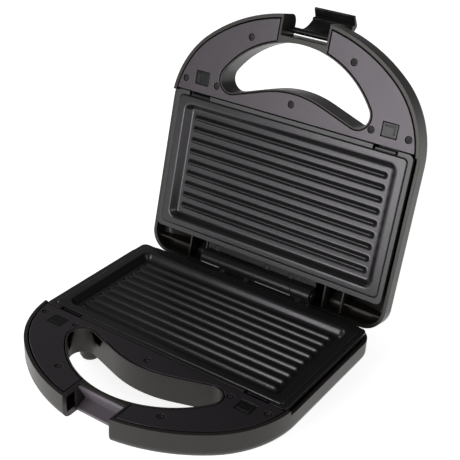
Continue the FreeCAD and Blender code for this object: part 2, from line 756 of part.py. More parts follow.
def grill_plate():
    """Removable plate: flat rim, sunk tray and ribs."""
    side, front, rear = size("plate_side"), size("plate_front"), size("plate_rear")
    rim = slab(rounded(side, front, rear, size("plate_corner")), "plate_proud", "rim_thick")
    run, skin = size("tray_run"), size("plate_skin")
    mouth = tray_mouth()
    floor = (mouth[0] - run, mouth[1] - run, mouth[2] + run)
    low = "plate_proud - tray_depth"
    body = tub(rounded(mouth[0] + skin, mouth[1] + skin, mouth[2] - skin, 6 + skin),
               rounded(floor[0] + skin, floor[1] + skin, floor[2] - skin, 3 + skin),
               "plate_proud - 0.2", f"{low} - plate_skin")
    hollow = tub(rounded(*mouth, 6), rounded(*floor, 3), "plate_proud", low)
    ribs = []
    for outline in ridge_outlines():
        lifted = Drawn()
        rib = lifted.body.newObject("PartDesign::Pad", "Pad")
        rib.Profile = lifted.sketch(outline, lift=f"{low} - 0.2")
        rib.setExpression("Length", bound("ridge_rise + 0.2"))
        rib.TaperAngle = -size("ridge_taper")
        doc.recompute()
        ribs.append(lifted.body)
    return fuse([cut(fuse([rim, body]), [hollow])] + ribs)


def heater():
    """Bent tube element with its cold pins."""
    y0 = "-(plate_front + plate_rear) / 2"
    drop = "-element_drop"
    legs = []
    for way in ("-", "+"):
        y = f"{y0} {way} element_bend"
        legs.append(bar("-element_half", "element_half", y, drop, "element_radius"))
        legs.append(bar("-element_half - 9", "-element_half", y, drop, "element_radius / 2"))
    bend = doc.addObject("Part::Torus", "Bend")
    bend.setExpression("Radius1", bound("element_bend"))
    bend.setExpression("Radius2", bound("element_radius"))
    bend.Angle3 = 180
    turn = "create(<<rotation>>; create(<<vector>>; 0; 0; 1); -90)"
    spot = f"create(<<vector>>; {bound('element_half')}; {bound(y0)}; {bound(drop)})"
    bend.setExpression("Placement", f"create(<<placement>>; {spot}; {turn})")
    return fuse(legs + [bend])


def reflector():
    """Sheet pan under the heater, hung from the frame's ledge by its flange."""
    margin, sheet_thick = size("pan_margin"), size("pan_sheet")
    side, front, rear = size("plate_side"), size("plate_front"), size("plate_rear")
    mouth = tray_mouth()
    box = (mouth[0] + margin, mouth[1] + margin, mouth[2] - margin)
    flange = slab(rounded(side - 0.2, front - 0.2, rear + 0.2, 4), "-frame_thick", "pan_sheet")
    bowl = slab(rounded(*box, 6), "-frame_thick", "pan_depth - frame_thick")
    inner = (box[0] - sheet_thick, box[1] - sheet_thick, box[2] + sheet_thick)
    hollow = slab(rounded(*inner, 6 - sheet_thick), "0", "pan_depth - pan_sheet")
    holes = [rod(x, y, "-20", "1", "screw_shank") for x, y in FRAME_SCREWS]
    pan = cut(fuse([flange, bowl]), [hollow] + holes)
    middle = "-(plate_front + plate_rear) / 2"
    saddles, grooves = [], []
    for x in ("-element_half + 14", "element_half - 14"):
        saddles.append(block(f"{x} - 3", f"{x} + 3", f"{middle} - element_bend - 6",
                             f"{middle} + element_bend + 6", "-pan_depth", "-element_drop - 1"))
    for way in "-+":
        grooves.append(bar("-element_half", "element_half", f"{middle} {way} element_bend",
                           "-element_drop", "element_radius"))
    return fuse([pan, cut(fuse(saddles), grooves)])


def leaf(bore):
    """Hinge leaf with two knuckles; the other half carries the same moulding turned round."""
    low = "-leaf_thick - leaf_sink"
    plate = block("-knuckle_long - knuckle_short", "knuckle_long + knuckle_short", "-leaf_front",
                  "-leaf_back", low, "-leaf_sink")
    gone = []
    parts = [plate]
    ends = [("-knuckle_long + knuckle_play", "-knuckle_play"),
            ("knuckle_long + knuckle_play", "knuckle_long + knuckle_short")]
    for x0, x1 in ends:
        parts.append(bar(x0, x1, "0", "half_gap", "knuckle_radius"))
        parts.append(block(x0, x1, "-leaf_back - 1", "-1", low, "half_gap - knuckle_radius + 2"))
        gone.append(bar(f"{x0} - 1", f"{x1} + 1", "0", "half_gap", bore))
    for x, y in LEAF_SCREWS:
        gone.append(rod(x, y, "-20", "-leaf_sink", "screw_shank + 0.2"))
        gone.append(rod(x, y, "-leaf_sink - head_thick", "1.6", "screw_head + 0.2"))
    return cut(fuse(parts), gone)


def button():
    """Release button with a retaining flange and a wedge under it."""
    cap = block("pad_x - pad_wide / 2 + pad_seam", "pad_x + pad_wide / 2 - pad_seam",
                "-pad_ahead - pad_long / 2 + pad_seam", "-pad_ahead + pad_long / 2 - pad_seam",
                "-deck_thick - 1.7", "-0.2")
    flange = block("pad_x - pad_wide / 2 - 0.6", "pad_x + pad_wide / 2 + 0.6",
                   "-pad_ahead - pad_long / 2 - 0.6", "-pad_ahead + pad_long / 2 + 0.6",
                   "-deck_thick - 1.7", "-deck_thick - fit_gap")
    relief = [block("pad_x - 4.4", "pad_x + 4.4", "-pad_ahead - 3.6", "-pad_ahead - 2.6", "-0.3", "0.1"),
              block("pad_x + 3.4", "pad_x + 4.4", "-pad_ahead - 3.6", "-pad_ahead + 3.2", "-0.3", "0.1")]
    y, slope = -size("pad_ahead"), size("tongue_ratio")
    top, low = -size("deck_thick") - 1.5, -size("tongue_low") - 2.5
    face = y - 4.25
    level = -size("tongue_low") + size("tongue_thick")
    wedge = Drawn()
    outline = [
        (flat(face - slope * (top - level), top),),
        (flat(face + slope * (level - low), low),),
        (flat(y + 1.4, low),),
        (flat(y + 1.4, top),),
    ]
    stem = wedge.pad(wedge.sketch(outline, plane="YZ_Plane", lift="pad_x"), "5.4", middle=True)
    return fuse([cap, flange, stem.body] + relief)


def tongue():
    """Sliding tongue: nose in the frame's slot, window round the button's wedge."""
    low, high = "-tongue_low", "-tongue_low + tongue_thick"
    head = block("pad_x - 8.7", "pad_x + 8.3", "-pad_ahead + 5.9", "-plate_front - 0.7", low, high)
    nose = block("pad_x - 8.7", "pad_x + 8.3", "-plate_front - 2.3", "-plate_front - 0.7", low, "-0.6")
    arm = block("pad_x - 5", "pad_x + 5", "-pad_ahead - 7.6", "-pad_ahead + 6", low, high)
    y, slope = -size("pad_ahead"), size("tongue_ratio")
    top = -size("tongue_low") + size("tongue_thick")
    edge = y - 4.6
    window = Drawn()
    outline = [
        (flat(edge - slope * 1.0, top + 1.0),),
        (flat(edge + slope * (size("tongue_thick") + 1.0), top - size("tongue_thick") - 1.0),),
        (flat(y + 4.4, top - size("tongue_thick") - 1.0),),
        (flat(y + 4.4, top + 1.0),),
    ]
    hole = window.pad(window.sketch(outline, plane="YZ_Plane", lift="pad_x"), "6", middle=True)
    return cut(fuse([head, nose, arm]), [hole.body])


def half(name, rear, flank_rear, body_rear, bore):
    """All the pieces that both halves share."""
    node(f"{name}_shell", shell(name, rear, flank_rear, body_rear), name)
    node(f"{name}_deck", deck(), name)
    node(f"{name}_plate_frame", plate_frame(), name)
    node(f"{name}_plate", grill_plate(), name)
    node(f"{name}_heater", heater(), name)
    node(f"{name}_heat_reflector", reflector(), name)
    node(f"{name}_thermostat", fuse([
        rod("-20", "-plate_rear - 40", "-pan_depth - thermostat_height", "-pan_depth",
            "thermostat_radius"),
        rod("-20", "-plate_rear - 40", "-pan_depth - thermostat_height - 3", "-pan_depth",
            "thermostat_radius / 2")]), name)
    node(f"{name}_deck_screws", group([
        pan_screw(x, y, "-head_sink", "9") for x, y in DECK_SCREWS]), name)
    node(f"{name}_frame_screws", group([
        flush_screw(x, y, SEAT, "9") for x, y in FRAME_SCREWS]), name)
    node(f"{name}_hinge_leaf", leaf(bore), name)
    node(f"{name}_hinge_screws", group([
        pan_screw(x, y, "-leaf_sink - head_thick", "9") for x, y in LEAF_SCREWS]), name)
    right, slider = button(), tongue()
    node(f"{name}_button_right", right, name)
    node(f"{name}_tongue_right", slider, name)
    node(f"{name}_button_left", mirrored(button()), name)
    node(f"{name}_tongue_left", mirrored(tongue()), name)


def clip():
    """Hanging latch: barrel on the pin, bowed wall, hooked lip."""
    bow, reach, thick = size("latch_bow"), size("latch_reach"), size("latch_thick")
    lip = size("latch_lip")
    outline = [
        (flat(-bow - thick / 2, reach * 0.52), flat(-2.0, reach + 1.8)),
        (flat(-0.6, reach + 2.8), flat(1.2, reach + 2.5)),
        (flat(lip + 0.9, reach - 1.0),),
        (flat(lip + 0.9, reach - 2.2), flat(lip - 0.2, reach - 2.6)),
        (flat(1.4, reach - 0.6),),
        (flat(thick / 2 - bow, reach * 0.52), flat(0.9, 1.6)),
        (flat(-2.0, 0.6),),
    ]
    wall = prism(outline, "latch_half")
    barrel = bar("fit_gap - gap_half", "gap_half - fit_gap", "0", "0", "latch_barrel")
    bore = bar("-gap_half - 1", "gap_half + 1", "0", "0", "latch_pin_radius + run_gap")
    return cut(fuse([wall, barrel]), [bore])


# ---------------------------------------------------------------- the whole press
half("base", "base_rear", "base_flank_rear", "base_body_rear", "pin_radius")
half("lid", "lid_rear", "lid_flank_rear", "lid_body_rear", "pin_radius + run_gap")
node("latch_catch", catch_insert(), "base")
node("base_feet", group([
    rod(x, y, "-deck_height", "-deck_height + foot_high", "foot_radius") for x, y in FEET]), "base")
node("hinge_pin", bar("-knuckle_long - knuckle_short", "knuckle_long + knuckle_short", "0",
                      "half_gap", "pin_radius"), "base")
node("cord_gland", cut(fuse([
    post("gland_x", "-base_body_rear - 6", "-base_body_rear + 2", "-gland_depth", "gland_radius"),
    post("gland_x", "-base_body_rear", "-base_body_rear + 2", "-gland_depth",
         "gland_radius + 1.2")]), [
    post("gland_x", "-base_body_rear - 7", "-base_body_rear + 3", "-gland_depth",
         "gland_radius / 2")]), "base")
node("base_terminal_block", block("30", "54", "-plate_rear - 24", "-plate_rear - 12",
                                  "floor - body_depth", "floor - body_depth + 10"), "base")
node("base_thermal_fuse", bar("-8", "14", "-plate_rear - 62", "-pan_depth - 2", "2"), "base")
node("latch_pin", bar("-gap_half - cheek", "gap_half + cheek", "-latch_pin_ahead",
                      "-latch_pin_depth", "latch_pin_radius"), "lid")
node("lid_lamp_power", rod("lamp_x", "-lamp_ahead", "-body_depth - 0.8", "-body_depth + 4",
                           "lamp_radius"), "lid")
node("lid_lamp_ready", rod("-lamp_x", "-lamp_ahead", "-body_depth - 0.8", "-body_depth + 4",
                           "lamp_radius"), "lid")
node("latch_clip", clip(), "latch")

doc.recompute()

os.makedirs("parts", exist_ok=True)
for piece in nodes:
    faults = [state for state in piece.State if state in ("Invalid", "Error")]
    if faults or piece.Shape.isNull() or not piece.Shape.isValid():
        raise ValueError(f"{piece.Label}: {faults or 'bad shape'}")
for piece in nodes:
    piece.Shape.exportStep(f"parts/{piece.Label}.step")
    print(piece.Label, len(piece.Shape.Solids), round(piece.Shape.Volume))
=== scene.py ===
# %% [markdown]
# # Folding panini press
# A sandwich press of two black moulded halves on one hinge, with a ribbed plate in each. The packed
# model is the frame: it says where every piece is and what it rides on. Modelling everything anew
# would lose that, so most pieces keep their mesh and get a procedural material, and only those
# whose roundness shows are rebuilt as smooth surfaces in the same place.

# %% Load the frame
import json

import bmesh
import bpy
import numpy as np
from mathutils import Matrix, Vector


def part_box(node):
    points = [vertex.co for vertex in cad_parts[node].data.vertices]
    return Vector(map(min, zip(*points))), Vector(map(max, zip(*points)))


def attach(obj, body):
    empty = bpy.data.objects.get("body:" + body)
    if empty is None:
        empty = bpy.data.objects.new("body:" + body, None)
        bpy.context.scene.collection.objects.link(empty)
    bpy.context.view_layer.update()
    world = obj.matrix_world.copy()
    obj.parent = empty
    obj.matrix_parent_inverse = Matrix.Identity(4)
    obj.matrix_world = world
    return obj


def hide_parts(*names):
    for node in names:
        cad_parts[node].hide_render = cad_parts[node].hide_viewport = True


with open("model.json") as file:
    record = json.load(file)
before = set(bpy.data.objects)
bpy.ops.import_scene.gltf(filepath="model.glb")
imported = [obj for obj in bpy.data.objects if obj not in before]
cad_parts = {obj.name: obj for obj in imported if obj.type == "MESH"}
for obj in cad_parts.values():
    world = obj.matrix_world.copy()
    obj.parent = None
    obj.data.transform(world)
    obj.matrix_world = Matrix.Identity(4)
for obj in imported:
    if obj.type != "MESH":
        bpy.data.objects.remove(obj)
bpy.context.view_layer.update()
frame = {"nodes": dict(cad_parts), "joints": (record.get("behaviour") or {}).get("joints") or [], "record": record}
nodes = frame["nodes"]

# %% [markdown]
# ## Lights
# Black plastic is seen by what it reflects, so the lights are large squares and not points. The
# front one is low and to the left, where the open lid mirrors it towards the viewer; the two at the
# sides only lift the walls. A dim white world fills the rest.

# %% Soft lights and world
def area_light(name, at, aim, size, power):
    """Soft square light of that size, at a point, turned towards another."""
    data = bpy.data.lights.new(name, "AREA")
    data.shape = "SQUARE"
    data.size = size
    data.energy = power
    lamp = bpy.data.objects.new(name, data)
    lamp.location = at
    lamp.rotation_euler = (Vector(aim) - Vector(at)).to_track_quat("-Z", "Y").to_euler()
    bpy.context.scene.collection.objects.link(lamp)


area_light("front", (-0.35, -2.0, 0.55), (0, 0, 0.1), 1.15, 34)
area_light("right", (2.0, -0.5, 0.7), (0, 0, 0.1), 1.2, 9)
area_light("left", (-1.8, 0.2, 0.9), (0, 0, 0.1), 1.0, 8)

world = bpy.data.worlds.new("studio")
world.use_nodes = True
world.node_tree.nodes["Background"].inputs["Color"].default_value = (1, 1, 1, 1)
world.node_tree.nodes["Background"].inputs["Strength"].default_value = 0.16
bpy.context.scene.world = world
bpy.context.scene.view_settings.view_transform = "Standard"
print("lights", len(bpy.data.lights))

# %% [markdown]
# ## Floor
# A sheet of white paper under the press. Light alone would leave it grey under a black object, so
# the paper also glows a little, as a light table does.

# %% Paper floor
FLOOR_REACH = 60

floor_mesh = bpy.data.meshes.new("floor")
corners = [(x * FLOOR_REACH, y * FLOOR_REACH, 0) for x, y in ((-1, -1), (1, -1), (1, 1), (-1, 1))]
floor_mesh.from_pydata(corners, [], [(0, 1, 2, 3)])
floor = bpy.data.objects.new("floor", floor_mesh)
bpy.context.scene.collection.objects.link(floor)
paper = bpy.data.materials.new("paper")
paper.use_nodes = True
sheet = paper.node_tree.nodes["Principled BSDF"].inputs
sheet["Base Color"].default_value = (0.9, 0.9, 0.9, 1)
sheet["Roughness"].default_value = 0.9
sheet["Emission Color"].default_value = (1, 1, 1, 1)
sheet["Emission Strength"].default_value = 0.8
floor_mesh.materials.append(paper)
print("floor", 2 * FLOOR_REACH, "m wide")

# %% [markdown]
# ## Camera
# It looks down on the open press from the front right, through a long lens that keeps the two
# halves nearly in proportion. Its axes are given as two unit vectors, right and up; the third,
# which points back at the viewer, is their cross product.

# %% Camera
lens = bpy.data.cameras.new("camera")
lens.lens = 77.73
lens.sensor_width = 36
camera = bpy.data.objects.new("camera", lens)
right = Vector((0.82414, 0.56490, 0.04102))
up = Vector((-0.30052, 0.37475, 0.87707))
facing = Matrix((right, up, right.cross(up))).transposed().to_4x4()
camera.matrix_world = Matrix.Translation((0.364333, -0.545981, 0.467343)) @ facing
bpy.context.scene.collection.objects.link(camera)
bpy.context.scene.camera = camera
print("camera with a lens of", lens.lens, "mm")

# %% [markdown]
# ## Shared shader effects
# Moulded plastic has a fine grain, edges that are never quite sharp, and a little wear on them.
# All finishes need these, so each effect is a node group built once. Real fillets on every edge
# would cost many faces; a bevelled normal gives the same highlight.

# %% Empty group with named sockets
def group_with(name, inputs, outputs):
    """Empty shader group with named sockets, and its two end nodes."""
    tree = bpy.data.node_groups.new(name, "ShaderNodeTree")
    for label, kind, value in inputs:
        socket = tree.interface.new_socket(label, in_out="INPUT", socket_type=kind)
        if value is not None:
            socket.default_value = value
    for label, kind in outputs:
        tree.interface.new_socket(label, in_out="OUTPUT", socket_type=kind)
    return tree, tree.nodes.new("NodeGroupInput"), tree.nodes.new("NodeGroupOutput")


# %% Grain on softly rounded edges
def grain_group():
    """Fine bumps over normals that are rounded at the edges, and a broad mask for tone.

    Normal = bump of the fine noise over the bevelled normal; Mask = the broad noise.
    """
    tree, start, end = group_with("grain", [
        ("Scale", "NodeSocketFloat", 900.0),
        ("Strength", "NodeSocketFloat", 0.2),
        ("Distance", "NodeSocketFloat", 0.0002),
        ("Edge", "NodeSocketFloat", 0.0006),
    ], [("Mask", "NodeSocketFloat"), ("Normal", "NodeSocketVector")])
    at = tree.nodes.new("ShaderNodeTexCoord")
    fine = tree.nodes.new("ShaderNodeTexNoise")
    broad = tree.nodes.new("ShaderNodeTexNoise")
    bump = tree.nodes.new("ShaderNodeBump")
    rounded = tree.nodes.new("ShaderNodeBevel")
    rounded.samples = 6
    fine.inputs["Detail"].default_value = 3
    broad.inputs["Scale"].default_value = 22
    broad.inputs["Detail"].default_value = 5
    tree.links.new(at.outputs["Object"], fine.inputs["Vector"])
    tree.links.new(at.outputs["Object"], broad.inputs["Vector"])
    tree.links.new(start.outputs["Scale"], fine.inputs["Scale"])
    tree.links.new(start.outputs["Strength"], bump.inputs["Strength"])
    tree.links.new(start.outputs["Distance"], bump.inputs["Distance"])
    tree.links.new(start.outputs["Edge"], rounded.inputs["Radius"])
    tree.links.new(rounded.outputs["Normal"], bump.inputs["Normal"])
    tree.links.new(fine.outputs["Fac"], bump.inputs["Height"])
    tree.links.new(broad.outputs["Fac"], end.inputs["Mask"])
    tree.links.new(bump.outputs["Normal"], end.inputs["Normal"])
    return tree


GRAIN = grain_group()
print("shader group", GRAIN.name)


# %% Worn edges
def wear_group():
    """Mask that is 1 on edges, broken up by noise.

    Mask = Amount * noise * (how far the bevelled normal has turned from the true one).
    """
    tree, start, end = group_with("edge_wear", [
        ("Radius", "NodeSocketFloat", 0.0008),
        ("Amount", "NodeSocketFloat", 0.6),
    ], [("Mask", "NodeSocketFloat")])
    bevel = tree.nodes.new("ShaderNodeBevel")
    bevel.samples = 4
    plain = tree.nodes.new("ShaderNodeNewGeometry")
    dot = tree.nodes.new("ShaderNodeVectorMath")
    dot.operation = "DOT_PRODUCT"
    gap = tree.nodes.new("ShaderNodeMapRange")
    gap.inputs["From Min"].default_value = 0.995
    gap.inputs["From Max"].default_value = 0.85
    at = tree.nodes.new("ShaderNodeTexCoord")
    noise = tree.nodes.new("ShaderNodeTexNoise")
    noise.inputs["Scale"].default_value = 160
    noise.inputs["Detail"].default_value = 6
    broken = tree.nodes.new("ShaderNodeMath")
    broken.operation = "MULTIPLY"
    scaled = tree.nodes.new("ShaderNodeMath")
    scaled.operation = "MULTIPLY"
    tree.links.new(start.outputs["Radius"], bevel.inputs["Radius"])
    tree.links.new(bevel.outputs["Normal"], dot.inputs[0])
    tree.links.new(plain.outputs["Normal"], dot.inputs[1])
    tree.links.new(dot.outputs["Value"], gap.inputs["Value"])
    tree.links.new(at.outputs["Object"], noise.inputs["Vector"])
    tree.links.new(gap.outputs["Result"], broken.inputs[0])
    tree.links.new(noise.outputs["Fac"], broken.inputs[1])
    tree.links.new(broken.outputs["Value"], scaled.inputs[0])
    tree.links.new(start.outputs["Amount"], scaled.inputs[1])
    tree.links.new(scaled.outputs["Value"], end.inputs["Mask"])
    return tree


WEAR = wear_group()
print("shader group", WEAR.name)

# %% [markdown]
# ## Materials
# Every surface here is a moulding, a coating or a plain metal, so one recipe serves them all: a
# base tone, a second tone that the broad noise brings in, a worn tone on edges, and a roughness
# that varies with the same noise. The finishes differ only in their numbers.

# %% Recipe for a coated surface
ROUGH_SPREAD = 0.07


def coated(name, tone, second, worn, rough=0.45, metal=0.0, grain=900, depth=0.25, coat=0.0,
           wear=0.5, gloss=0.5, sheen_of=(1, 1, 1)):
    """Procedural surface with grain, tone change and worn edges; sheen_of tints its gloss."""
    made = bpy.data.materials.new(name)
    made.use_nodes = True
    tree = made.node_tree
    shader = tree.nodes["Principled BSDF"]
    grain_node = tree.nodes.new("ShaderNodeGroup")
    grain_node.node_tree = GRAIN
    grain_node.inputs["Scale"].default_value = grain
    grain_node.inputs["Strength"].default_value = depth
    wear_node = tree.nodes.new("ShaderNodeGroup")
    wear_node.node_tree = WEAR
    wear_node.inputs["Amount"].default_value = wear
    tones = tree.nodes.new("ShaderNodeMix")
    tones.data_type = "RGBA"
    tones.inputs["A"].default_value = (*tone, 1)
    tones.inputs["B"].default_value = (*second, 1)
    edges = tree.nodes.new("ShaderNodeMix")
    edges.data_type = "RGBA"
    edges.inputs["B"].default_value = (*worn, 1)
    varied = tree.nodes.new("ShaderNodeMapRange")
    varied.inputs["To Min"].default_value = rough - ROUGH_SPREAD
    varied.inputs["To Max"].default_value = rough + ROUGH_SPREAD
    tree.links.new(grain_node.outputs["Mask"], tones.inputs["Factor"])
    tree.links.new(grain_node.outputs["Mask"], varied.inputs["Value"])
    tree.links.new(tones.outputs["Result"], edges.inputs["A"])
    tree.links.new(wear_node.outputs["Mask"], edges.inputs["Factor"])
    tree.links.new(edges.outputs["Result"], shader.inputs["Base Color"])
    tree.links.new(varied.outputs["Result"], shader.inputs["Roughness"])
    tree.links.new(grain_node.outputs["Normal"], shader.inputs["Normal"])
    shader.inputs["Metallic"].default_value = metal
    shader.inputs["Coat Weight"].default_value = coat
    shader.inputs["Specular IOR Level"].default_value = gloss
    shader.inputs["Specular Tint"].default_value = (*sheen_of, 1)
    return made


# %% Finishes of the press
FINISH = {
    "housing": coated("housing", (0.014, 0.0125, 0.0115), (0.019, 0.017, 0.0155),
                      (0.05, 0.047, 0.044), rough=0.36, grain=1500, depth=0.1, gloss=0.34,
                      sheen_of=(1, 0.97, 0.93)),
    "deck": coated("deck", (0.013, 0.011, 0.0125), (0.018, 0.015, 0.0175), (0.06, 0.053, 0.058),
                   rough=0.34, grain=2200, depth=0.25, gloss=0.55, sheen_of=(1, 0.92, 1)),
    "ring": coated("ring", (0.006, 0.006, 0.006), (0.009, 0.009, 0.009), (0.05, 0.05, 0.05),
                   rough=0.36, grain=1800, depth=0.2),
    "nonstick": coated("nonstick", (0.009, 0.009, 0.0095), (0.013, 0.013, 0.0135),
                       (0.07, 0.07, 0.07), rough=0.24, metal=0.1, grain=1300, depth=0.2, gloss=0.5,
                       sheen_of=(1, 0.95, 1)),
    "steel": coated("steel", (0.55, 0.55, 0.55), (0.42, 0.41, 0.40), (0.75, 0.75, 0.75),
                    rough=0.3, metal=1.0, grain=700, depth=0.1),
    "sheet": coated("sheet", (0.62, 0.62, 0.62), (0.5, 0.5, 0.5), (0.8, 0.8, 0.8),
                    rough=0.35, metal=1.0, grain=400, depth=0.1),
    "ceramic": coated("ceramic", (0.72, 0.69, 0.62), (0.64, 0.61, 0.54), (0.8, 0.78, 0.72),
                      rough=0.6, grain=900, depth=0.3),
    "screw": coated("screw", (0.016, 0.016, 0.016), (0.011, 0.011, 0.011), (0.16, 0.16, 0.155),
                    rough=0.42, grain=1500, depth=0.2, wear=0.7, gloss=0.12),
    "black": coated("black", (0.005, 0.005, 0.005), (0.008, 0.008, 0.008), (0.05, 0.05, 0.05),
                    rough=0.26, grain=1500, depth=0.08, gloss=0.25),
    # satin: a real satin finish, but its purple-grey tone, far lighter than the housing's, is painted front light
    # on the catch.
    "satin": coated("satin", (0.085, 0.072, 0.084), (0.10, 0.086, 0.10), (0.16, 0.15, 0.16),
                    rough=0.42, grain=1800, depth=0.15),
    "rubber": coated("rubber", (0.040, 0.038, 0.036), (0.050, 0.047, 0.044), (0.08, 0.08, 0.08),
                     rough=0.8, grain=600, depth=0.5),
    "red_lens": coated("red_lens", (0.42, 0.02, 0.015), (0.33, 0.015, 0.01), (0.6, 0.1, 0.1),
                       rough=0.15, grain=300, depth=0.05, coat=0.6),
    "green_lens": coated("green_lens", (0.02, 0.28, 0.06), (0.015, 0.2, 0.04), (0.1, 0.5, 0.2),
                         rough=0.15, grain=300, depth=0.05, coat=0.6),
}
print("finishes", len(FINISH))


# %% Dress every piece of the frame
def dress(obj, slot):
    """Give an object one of the finishes in place of what it had."""
    obj.data.materials.clear()
    obj.data.materials.append(FINISH[slot])


for part in frame["record"]["subparts"]:
    dress(nodes[part["node"]], part["material_slot"])
# The catch takes the satin finish, whose lighter tone paints the front light falling on it.
dress(nodes["latch_catch"], "satin")
print("dressed", len(nodes))

# %% [markdown]
# ## The two halves
# Base and lid are the same kind of half. Both are described in one half frame: origin under the
# hinge axis on the deck, handle towards -y, depth towards -z. These matrices put it in place.

# %% Matrices of base and lid
joints = {joint["name"]: joint for joint in frame["joints"]}
hinge = Vector(joints["lid_hinge"]["pos_m"])
deck_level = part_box("base_deck")[1].z
half_gap = hinge.z - deck_level
open_angle = np.radians(joints["lid_hinge"]["range_deg"][1])
latch_swing = np.radians(joints["latch_pivot"]["range_deg"][1])

BASE = Matrix.Translation((0, hinge.y, deck_level))
LID = (Matrix.Translation(hinge) @ Matrix.Rotation(-open_angle, 4, "X")
       @ Matrix.Translation((0, 0, half_gap)) @ Matrix.Rotation(np.pi, 4, "Y"))
HALVES = {"base": BASE, "lid": LID}
print("half gap", round(half_gap, 4), "open", round(np.degrees(open_angle), 1))


# %% Read a piece in its half frame
def in_half(node, name):
    """Vertices of a CAD node, in metres in its half frame, as an array of shape (n, 3)."""
    mesh = nodes[node].data
    flat = np.empty(3 * len(mesh.vertices), dtype=np.float32)
    mesh.vertices.foreach_get("co", flat)
    back = np.array(HALVES[name].inverted())
    return flat.reshape(-1, 3).astype(float) @ back[:3, :3].T + back[:3, 3]


def middles(points, spread):
    """Lowest and highest corner of each cluster of points that lie within a spread."""
    found = []
    while len(points):
        near = np.linalg.norm(points - points[0], axis=1) < spread
        found.append((points[near].min(axis=0), points[near].max(axis=0)))
        points = points[~near]
    return found


# %% [markdown]
# ## Surface builders
# A smooth piece is a grid of points that numpy works out as one array. Building it with edit tools
# would be slower to change: here a new size is a new number. The grid becomes a mesh whose poles
# are merged, whose ends are capped and whose faces look outwards.

# %% Grid to mesh
def lattice(points, wrap=False):
    """Vertices and quads of a grid of points with shape (rows, columns, 3).

    Vertex k = row * columns + column; each quad joins (r, c), (r, c+1), (r+1, c+1), (r+1, c).
    With wrap the last column joins the first.
    """
    rows, columns = points.shape[:2]
    r, c = np.meshgrid(np.arange(rows - 1), np.arange(columns if wrap else columns - 1),
                       indexing="ij")
    n = (c + 1) % columns
    quads = np.stack([r * columns + c, r * columns + n, (r + 1) * columns + n,
                      (r + 1) * columns + c], axis=-1)
    return points.reshape(-1, 3), quads.reshape(-1, 4)


# %% Finished piece
MERGE = 1e-6


def close_up(mesh, capped):
    """Merge the points that meet at poles, cap open ends and turn every face outwards."""
    shaped = bmesh.new()
    shaped.from_mesh(mesh)
    bmesh.ops.remove_doubles(shaped, verts=shaped.verts, dist=MERGE)
    if capped:
        open_edges = [edge for edge in shaped.edges if edge.is_boundary]
        bmesh.ops.holes_fill(shaped, edges=open_edges, sides=0)
    bmesh.ops.recalc_face_normals(shaped, faces=shaped.faces)
    shaped.to_mesh(mesh)
    shaped.free()


def piece(name, parts, place, slot, body, *stands_for, smooth=30, capped=True):
    """One object from several (vertices, quads) pairs, put in place, dressed and ridden."""
    turn = np.array(place)
    points, faces, count = [], [], 0
    for vertices, quads in parts:
        points.append(vertices @ turn[:3, :3].T + turn[:3, 3])
        faces.append(quads + count)
        count += len(vertices)
    mesh = bpy.data.meshes.new(name)
    mesh.from_pydata(np.vstack(points).tolist(), [], np.vstack(faces).tolist())
    close_up(mesh, capped)
    obj = bpy.data.objects.new(name, mesh)
    bpy.context.scene.collection.objects.link(obj)
    mesh.shade_smooth()
    mesh.set_sharp_from_angle(angle=np.radians(smooth))
    dress(obj, slot)
    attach(obj, body)
    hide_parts(*stands_for)
    print(name, len(mesh.polygons), "faces")
    return obj


# %% Soft ramp and distance from an edge
def ramp(t, soft):
    """Straight ramp from 0 at t=0 to 1 at t=1 whose two corners are rounded.

    ramp = soft * (ln(1 + e^(t/soft)) - ln(1 + e^((t-1)/soft)))
    """
    return soft * (np.logaddexp(0, t / soft) - np.logaddexp(0, (t - 1) / soft))


def inside(x, y, half, radius):
    """Distance inwards from a round-cornered rectangle centred on 0; negative outside."""
    qx = np.abs(x) - half[0] + radius
    qy = np.abs(y) - half[1] + radius
    outer = np.hypot(np.maximum(qx, 0), np.maximum(qy, 0))
    return radius - outer - np.minimum(np.maximum(qx, qy), 0)


# %% [markdown]
# ## Grill plates
# Each plate is cast in one piece: a flat rim, a sunk tray and nine straight ribs, all with soft
# corners under the non-stick coating. A plate without undercuts is just a height over a
# rectangle, so it is one grid. Separate ribs joined to a tray would need fillets by hand.

# %% Sizes of the tray and the ribs, in millimetres
PLATE_CORNER = 4.0
EDGE_ROUND = 0.9
RIM_SIDE, RIM_MEAN = 7.6, 6.45
MOUTH_SHIFT, MOUTH_CORNER = 0.25, 6.0
TRAY_DEPTH, TRAY_RUN, TRAY_SOFT = 5.9, 3.4, 0.13
RIB_COUNT, RIB_PITCH, RIB_SHIFT = 9, 9.62, 0.2
RIB_REACH, RIB_RISE = 87.6, 2.9
RIB_CREST, RIB_FLANK, RIB_SOFT = 0.7, 1.5, 0.16
SKIRT = 5.7
COARSE_TO, COARSE_STEPS = 80, 13
FINE_FROM, FINE_STEPS = 85, 46
ROWS = 281


# %% Height of a plate's rim and tray
def tray_height(x, y, half, top):
    """Height in millimetres at (x, y) from the plate's middle, without the ribs.

    z = top - TRAY_DEPTH * ramp(way in from the mouth / TRAY_RUN) - (rounded outer edge),
    where the rounding is EDGE_ROUND - sqrt(EDGE_ROUND^2 - (EDGE_ROUND - way in from the edge)^2).
    """
    deep = inside(x, y - MOUTH_SHIFT, (half[0] - RIM_SIDE, half[1] - RIM_MEAN), MOUTH_CORNER)
    z = top - TRAY_DEPTH * ramp(deep / TRAY_RUN, TRAY_SOFT)
    edge = np.maximum(inside(x, y, half, PLATE_CORNER), 0)
    short = np.clip(EDGE_ROUND - edge, 0, EDGE_ROUND)
    return z - (EDGE_ROUND - np.sqrt(EDGE_ROUND ** 2 - short ** 2))


